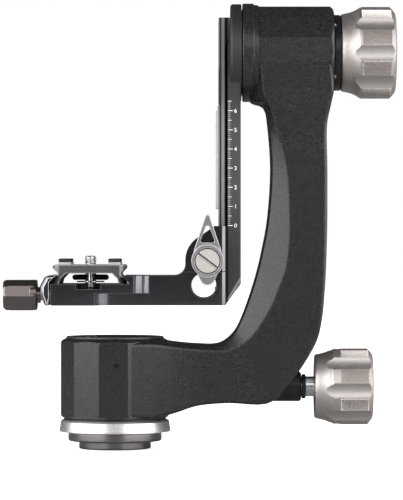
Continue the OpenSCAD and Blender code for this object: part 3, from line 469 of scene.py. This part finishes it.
def helix(z0, z1, root, crest, pitch, x=0.0):
    """Thread ridge from z0 to z1, between two radii, that fades out at both ends."""
    rows = int((z1 - z0) / pitch * THREAD_ROWS)
    points = []
    for i in range(rows + 1):
        z = z0 + (z1 - z0) * i / rows
        fade = min(1.0, (z - z0) / pitch * THREAD_FADE, (z1 - z) / pitch * THREAD_FADE)
        for k in range(THREAD_STEPS):
            turn = k / THREAD_STEPS
            wave = abs(2 * ((z / pitch - turn) % 1.0) - 1)
            lift = max(0.0, min(1.0, wave * 1.5 - 0.25))  # flat crest and root
            r = root + (crest - root) * lift * fade
            points.append((x + r * math.cos(math.tau * turn), r * math.sin(math.tau * turn), z))
    return points, tube_faces(rows + 1, THREAD_STEPS)


DIGIT_SHARE = 0.70  # height of a digit as a share of the font's size
DIGIT_RELIEF = 0.02  # half the thickness of a digit


def digits(name, texts, height, look, body):
    """Flat numbers; texts holds each number with the matrix that puts it in place."""
    shells = []
    for text, place in texts:
        curve = bpy.data.curves.new(name, "FONT")
        curve.body = text
        curve.size = height / DIGIT_SHARE
        curve.align_x = "CENTER"
        curve.extrude = DIGIT_RELIEF
        curve.resolution_u = 3
        holder = bpy.data.objects.new(name, curve)
        shape = bpy.data.meshes.new_from_object(holder)
        shells.append(([tuple(place @ v.co) for v in shape.vertices],
                       [tuple(f.vertices) for f in shape.polygons]))
        bpy.data.objects.remove(holder)
        bpy.data.meshes.remove(shape)
        bpy.data.curves.remove(curve)
    piece(name, *joined(shells), look, body)


# ---------------------------------------------------------------- knurl of the two lock knobs

KNURL_STEP = 0.54  # half the pitch of the diamonds
KNURL_RISE = 0.36  # height of the diamonds over the land
KNURL_SINK = 0.06  # how far the feet of the diamonds lie inside the knob
KNURL_TOP = 0.30  # share of each diamond that its flat top takes
KNOB_CHAMFER = 2.4  # width of the chamfer at the end of a knob, which stays plain
AROUND = ((-1, 0), (0, -1), (1, 0), (0, 1))


def knurl(node, radius, start, flutes, phase, land):
    """Diamonds over the lands of a fluted knob, from start to its end chamfer.

    In degrees, phase is where the first flute is, down from the front, and land is half the
    width of a land.
    """
    axis_z = middle(node, "z")
    end = span(node, "x")[1] - KNOB_CHAMFER
    columns = 2 * round(radius * math.radians(land) / KNURL_STEP)
    rows = 2 * round((end - start) / KNURL_STEP / 2)
    points, tops, sides = [], [], []

    def at(centre, i, j, rise):
        angle = math.radians(centre + land * (2 * i / columns - 1))
        r = radius + rise
        points.append((start + (end - start) * j / rows,
                       -r * math.cos(angle), axis_z - r * math.sin(angle)))
        return len(points) - 1

    for flute, i, j in product(range(flutes), range(1, columns), range(1, rows)):
        if (i + j) % 2:
            continue
        centre = phase + 360 * (flute + 0.5) / flutes
        foot = [at(centre, i + u, j + v, -KNURL_SINK) for u, v in AROUND]
        top = [at(centre, i + u * KNURL_TOP, j + v * KNURL_TOP, KNURL_RISE) for u, v in AROUND]
        tops.append(top)
        sides += [(foot[k], foot[(k + 1) % 4], top[(k + 1) % 4], top[k]) for k in range(4)]
    obj = piece(node + "_knurl", points, tops + sides, LOOKS["knob_silver"], node)
    # The sides of the diamonds take the darker look, as painted shade in the grooves
    obj.data.materials.append(KNURL_GROOVE_SHADE)
    for face in obj.data.polygons[len(tops):]:
        face.material_index = 1


# ---------------------------------------------------------------- scale and bevel of the rail

RAIL_FACE = -19.1  # Y of the rail's front face
SCALE_X = 59.6  # where the marks start
SCALE_Z = 117.6  # height of the mark at 0
PAINT = 0.03  # how far paint stands off
CM_MARK, HALF_MARK, MM_MARK = (2.5, 0.16), (1.85, 0.14), (1.3, 0.14)  # length, half the width
NUMBER_AT = (63.55, -1.05)  # X of the numbers, and their feet below the mark
NUMBER_HEIGHT = 2.1


def rail_scale():
    """Centimetre scale on the rail's front face, with a mark at each millimetre."""
    long_marks, short_marks = [], []
    for k in range(66):
        length, half = CM_MARK if k % 10 == 0 else HALF_MARK if k % 5 == 0 else MM_MARK
        z = SCALE_Z + k
        mark = ((SCALE_X, RAIL_FACE - PAINT, z - half), (SCALE_X + length, RAIL_FACE, z + half))
        (long_marks if k % 5 == 0 else short_marks).append(mark)
    piece("rail_scale_marks", *boxes(long_marks), WHITE_PAINT, "cradle")
    piece("rail_scale_fine_marks", *boxes(short_marks), GREY_PAINT, "cradle")
    upright = Matrix.Rotation(math.radians(90), 4, "X")
    numbers = []
    for k in range(7):
        place = (NUMBER_AT[0], RAIL_FACE - PAINT / 2, SCALE_Z + 10 * k + NUMBER_AT[1])
        numbers.append((str(k), Matrix.Translation(place) @ upright))
    digits("rail_scale_numbers", numbers, NUMBER_HEIGHT, WHITE_PAINT, "cradle")


END_FOOT, END_TOP = (59.5, 77.5), (66.2, 88.55)  # X and Z of the rail's slanted lower end
END_BAND = 2.3625  # height of the painted band along it
BAND_SINK = 0.2  # how far the band's sides reach into the rail
BAND_FACES = ((0, 1, 2, 3), (0, 4, 5, 1), (1, 5, 6, 2), (2, 6, 7, 3), (3, 7, 4, 0))


def rail_end_bevel():
    """Painted highlight of a broad bevel: a lighter band on the flat front and back faces along
    the slanted lower end of the rail.
    """
    (x0, z0), (x1, z1) = END_FOOT, END_TOP
    corners = [(x0, z0), (x1, z1), (x1, z1 + END_BAND), (x0, z0 + END_BAND)]
    shells = []
    for face_y, side in ((RAIL_FACE, -1), (-RAIL_FACE, 1)):
        shells.append(([(x, face_y + side * rise, z) for rise in (PAINT, -BAND_SINK)
                        for x, z in corners], BAND_FACES))
    obj = piece("rail_end_bevel", *joined(shells), RAIL_BEVEL_HIGHLIGHT, "cradle")


# ---------------------------------------------------------------- scale of the pan ring

RING_R = 29.3  # radius of the pan ring at RING_FOOT
RING_FOOT = 9.7
RING_TAPER = 0.6 / 4.7  # how fast the radius shrinks upwards
MARKS_TOP = 14.3
MARK_LENGTHS = (2.0, 1.5, 1.1)  # at every 30, 15 and 5 degrees
MARK_HALF = 0.11  # half the width of a mark
RING_LEAN = 7.3  # degrees
RING_NUMBER_AT = (0.22, 10.5)  # how far inside RING_R the numbers are, and height of their feet
RING_NUMBER_HEIGHT = 1.5


def pan_scale():
    """Degree scale round the pan ring."""
    marks = []
    for k in range(72):
        a = math.radians(5 * k)
        length = MARK_LENGTHS[0 if k % 6 == 0 else 1 if k % 3 == 0 else 2]
        points = []
        for z in (MARKS_TOP - length, MARKS_TOP):
            r = RING_R + PAINT - RING_TAPER * (z - RING_FOOT)
            for b in (a - MARK_HALF / RING_R, a + MARK_HALF / RING_R):
                points.append((r * math.sin(b), -r * math.cos(b), z))
        marks.append((points, [(0, 1, 3, 2)]))
    piece("pan_scale_marks", *joined(marks), SCALE_MARK, "base")
    lean = Matrix.Rotation(math.radians(90 - RING_LEAN), 4, "X")
    foot = Matrix.Translation((0, -RING_R + RING_NUMBER_AT[0], RING_NUMBER_AT[1]))
    numbers = [(str(angle), Matrix.Rotation(math.radians(angle), 4, "Z") @ foot @ lean)
               for angle in range(0, 360, 30)]
    digits("pan_scale_numbers", numbers, RING_NUMBER_HEIGHT, SCALE_MARK, "base")


# ---------------------------------------------------------------- screws and threads

LEVER_Z = 99.1  # height of the lever's axis
GAP_Y, SLOT_Y = -25.94, -26.93  # just in front of the bottom of the gap and of the slot
GAP_RADII = (6.22, 6.78)
GAP_STEPS = 48
SLOT_TURN = 37  # degrees
SLOT_SHADE = ((-6.1, 0.1), (6.1, 0.1), (6.1, 0.73), (-6.1, 0.73))  # along and across the slot


def lever_screw_shadow():
    """Dark gap round the lever's screw, and the shaded side of its slot."""
    lever_x = middle("rail_lever", "x")
    points, faces = [], []
    for k in range(GAP_STEPS):
        a = math.tau * k / GAP_STEPS
        for r in GAP_RADII:
            points.append((lever_x + r * math.cos(a), GAP_Y, LEVER_Z + r * math.sin(a)))
        faces.append([n % (2 * GAP_STEPS) for n in (2 * k, 2 * k + 1, 2 * k + 3, 2 * k + 2)])
    turn = (Matrix.Translation((lever_x, 0, LEVER_Z))
            @ Matrix.Rotation(math.radians(SLOT_TURN), 4, "Y"))
    slot = [tuple(turn @ Vector((x, SLOT_Y, z))) for x, z in SLOT_SHADE]
    shells = ((points, faces), (slot, [range(4)]))
    piece("lever_screw_shadow", *joined(shells), LOOKS["black_trim"], "rail_lever")


DECK_TOP = 97.2  # top of the plate, between its ribs
QUARTER_20 = dict(root=2.5, crest=3.175, pitch=1.27)
THREE_EIGHTHS_16 = dict(root=3.99, crest=3.62, pitch=1.5875)  # in a hole: its crest is inside
HOLE_THREAD = (0.4, 11.6)  # lowest and highest point of the thread in the tripod hole


def camera_screw():
    """Camera screw with its real thread, in place of the plain one."""
    low, top = span("camera_screw", "z")
    # Height and radius from the foot up: stem, collar below the plate, core of the thread
    stem = lathe([(low, 0), (low, 2.5), (low + 0.4, 2.9),
                  (87.8, 2.9), (87.8, 7.1), (87.95, 7.4), (88.35, 7.4), (88.5, 7.1), (88.5, 2.9),
                  (DECK_TOP, 2.9), (DECK_TOP, 2.55), (top - 0.6, 2.55), (top, 2.1), (top, 0)],
                 (SCREW_X, 0, 0), "z")
    thread = helix(DECK_TOP, top - 0.2, **QUARTER_20, x=SCREW_X)
    screw = piece("camera_screw_threaded", *joined((stem, thread)), LOOKS["chrome"],
                  "camera_screw")
    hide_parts("camera_screw")


def tripod_thread():
    """Thread in the tripod hole."""
    thread = helix(*HOLE_THREAD, **THREE_EIGHTHS_16)
    obj = piece("tripod_hole_thread", *thread, LOOKS["base_gunmetal"], "base")


BOSS_END_X = 115.5  # end face of the upper boss
BOSS_SCREWS = (51, 129, 231, 309)  # degrees from the top
BOSS_SCREW_CIRCLE = 21.4  # radius
# Distance from the face and radius
SCREW_HEAD = ((0, 1.2), (0.45, 1.2), (0.65, 1.0), (0.65, 0.55), (0.25, 0.55), (0.25, 0))


def boss_screws():
    """Small screws in the end face of the upper boss."""
    shells = []
    for a in map(math.radians, BOSS_SCREWS):
        place = (BOSS_END_X, BOSS_SCREW_CIRCLE * math.sin(a),
                 TILT_Z + BOSS_SCREW_CIRCLE * math.cos(a))
        shells.append(lathe(SCREW_HEAD, place, "x", 20))
    piece("boss_end_screws", *joined(shells), LOOKS["steel"], "yoke")


# ---------------------------------------------------------------- plate and level

RIB_OFFSET = 13.0  # from the camera screw to the middle of a rib
RIB_HALF = (3.23, 20.03)  # half the width and length, just over the rib's own
RIB_TOP = 1.19  # over the deck
STRIP_LIFT = 0.02


def rib_strips():
    """Painted highlight: near-white strips over the ribs that carry the pads."""
    strips = []
    for x in (SCREW_X - RIB_OFFSET, SCREW_X + RIB_OFFSET):
        strips.append(((x - RIB_HALF[0], -RIB_HALF[1], DECK_TOP + STRIP_LIFT),
                       (x + RIB_HALF[0], RIB_HALF[1], DECK_TOP + RIB_TOP)))
    piece("plate_rib_highlights", *boxes(strips), WHITE_HIGHLIGHT, "plate")


# Height over the vial and radius
LEVEL_RING = ((0.02, 1.75), (0.06, 1.75), (0.06, 1.95), (0.02, 1.95))
BUBBLE_DOME = ((0.01, 1.35), (0.16, 1.2), (0.26, 0.8), (0.3, 0.0))
BUBBLE_OFFSET = (0.4, 0.3)


def level():
    """Centre ring and bubble of the level."""
    x, z = middle("level_vial", "x"), span("level_vial", "z")[1]
    ring = lathe(LEVEL_RING, (x, 0, z), "z", 40)
    piece("level_centre_ring", *ring, LOOKS["black_trim"], "yoke")
    dome = lathe(BUBBLE_DOME, (x + BUBBLE_OFFSET[0], BUBBLE_OFFSET[1], z), "z", 32)
    piece("level_bubble", *dome, BUBBLE, "yoke", smooth=True)


knurl("tilt_knob", radius=23.9, start=129.8, flutes=9, phase=4.0, land=10.0)
knurl("pan_knob", radius=19.9, start=118.6, flutes=8, phase=4.5, land=10.7)
rail_scale()
rail_end_bevel()
pan_scale()
lever_screw_shadow()
camera_screw()
tripod_thread()
rib_strips()
boss_screws()
level()


# ---------------------------------------------------------------- stage, light and camera

CENTRE = (0.045, 0.0, 0.12)  # what the lamps and flags face
CAMERA_AT = (0.04577, -1.514, 0.1048)
VIEW_HEIGHT = 0.2646  # metres seen by the image's 500 rows at the pan axis
SENSOR = 36.0  # millimetres, along the picture's longer side
SOFTBOXES = {"softbox_left": (-0.95, -0.55, 0.25), "softbox_right": (1.04, -0.55, 0.25)}
SOFTBOX_SIZE = (1.7, 1.4)
SOFTBOX_RADIANCE = 2.1
AMBIENT = (0.90, 0.90, 0.91, 1)
BLACK_CARD = (0.015, 0.015, 0.016)
FLAGS = {  # place, width and height
    "flag_front": ((0.045, -2.4, 0.12), (1.6, 0.9)),
    "flag_back": ((0.045, 0.50, 0.3), (3.2, 3.0)),
    "flag_top": ((0.045, 0.0, 1.15), (2.4, 2.4)),
}
FLOOR_SIZE = 12.0
FLOOR_DROP = 0.0002  # keeps the floor clear of the base's underside
FLOOR_LIFT = 0.75  # light that the floor adds for the camera, so that it fades into white
FLOOR_IN_METAL = (0.20, 0.20, 0.20, 1)  # the floor's colour as reflections see it


def look_at(obj, target):
    obj.rotation_euler = (Vector(target) - obj.location).to_track_quat("-Z", "Y").to_euler()


def make_camera():
    data = bpy.data.cameras.new("camera")
    data.sensor_width = SENSOR
    data.lens = SENSOR * abs(CAMERA_AT[1]) / VIEW_HEIGHT
    data.clip_start, data.clip_end = 0.05, 60
    camera = bpy.data.objects.new("camera", data)
    camera.location = CAMERA_AT
    camera.rotation_euler = (math.radians(90), 0, 0)
    bpy.context.scene.collection.objects.link(camera)
    bpy.context.scene.camera = camera


def sees_background(tree):
    """1 for rays that come from the camera or off a glossy or clear surface."""
    path = tree.nodes.new("ShaderNodeLightPath")
    total = path.outputs["Is Camera Ray"]
    for kind in ("Is Glossy Ray", "Is Transmission Ray"):
        node = tree.nodes.new("ShaderNodeMath")
        node.operation = "MAXIMUM"
        tree.links.new(total, node.inputs[0])
        tree.links.new(path.outputs[kind], node.inputs[1])
        total = node.outputs["Value"]
    return total


def make_world():
    """White for the camera, reflections and glass, and slightly less light for the rest."""
    world = bpy.data.worlds.new("studio")
    bpy.context.scene.world = world
    world.use_nodes = True
    tree = world.node_tree
    mix = tree.nodes.new("ShaderNodeMix")
    mix.data_type = "RGBA"
    mix.inputs["A"].default_value = AMBIENT
    mix.inputs["B"].default_value = (1, 1, 1, 1)
    tree.links.new(sees_background(tree), mix.inputs["Factor"])
    tree.links.new(mix.outputs["Result"], tree.nodes["Background"].inputs["Color"])


def card(name, width, height, material, z=0.0):
    """Flat rectangle of the stage, centred over its own origin."""
    mesh = bpy.data.meshes.new(name)
    corners = ((-1, -1), (1, -1), (1, 1), (-1, 1))
    mesh.from_pydata([(x * width / 2, y * height / 2, z) for x, y in corners], [], [range(4)])
    mesh.materials.append(material)
    obj = bpy.data.objects.new(name, mesh)
    bpy.context.scene.collection.objects.link(obj)
    return obj


def make_floor():
    """Pale floor that keeps the shadow and fades into the white background."""
    look = Look("floor_look", (0.93, 0.93, 0.93), roughness=0.9, Emission_Color=(1, 1, 1, 1))
    look.vary_roughness(look.noise(40.0), 0.85, 0.95)
    path = look.node("LightPath")
    lift = look.node("Math", operation="MULTIPLY")
    look.put(path.outputs["Is Camera Ray"], lift.inputs[0])
    look.put(FLOOR_LIFT, lift.inputs[1])
    look.put(lift.outputs["Value"], look.shader.inputs["Emission Strength"])
    look.change_color(FLOOR_IN_METAL, path.outputs["Is Glossy Ray"])
    # Clear from below, so that the underside of the part can be seen
    mix = look.node("MixShader")
    look.put(look.node("NewGeometry").outputs["Backfacing"], mix.inputs["Fac"])
    look.put(look.shader.outputs["BSDF"], mix.inputs[1])
    look.put(look.node("BsdfTransparent").outputs["BSDF"], mix.inputs[2])
    look.put(mix.outputs["Shader"], look.tree.nodes["Material Output"].inputs["Surface"])
    card("floor", FLOOR_SIZE, FLOOR_SIZE, look.material, z=-FLOOR_DROP)


def softbox(name, place):
    """Area lamp that is as bright as SOFTBOX_RADIANCE on every part of its face."""
    width, height = SOFTBOX_SIZE
    data = bpy.data.lights.new(name, "AREA")
    data.shape = "RECTANGLE"
    data.size, data.size_y = width, height
    data.energy = SOFTBOX_RADIANCE * math.pi * width * height
    lamp = bpy.data.objects.new(name, data)
    lamp.location = place
    look_at(lamp, CENTRE)
    bpy.context.scene.collection.objects.link(lamp)


def flag(name, place, size):
    """Black card that only reflections see; it keeps the dark edges of the metal parts."""
    obj = card(name, *size, Look(name + "_look", BLACK_CARD, roughness=0.9).material)
    obj.location = place
    look_at(obj, CENTRE)
    for kind in ("camera", "diffuse", "shadow", "transmission", "volume_scatter"):
        setattr(obj, "visible_" + kind, False)


make_camera()
make_world()
make_floor()
for name, place in SOFTBOXES.items():
    softbox(name, place)
for name, (place, size) in FLAGS.items():
    flag(name, place, size)

bpy.context.scene.view_settings.view_transform = "Standard"
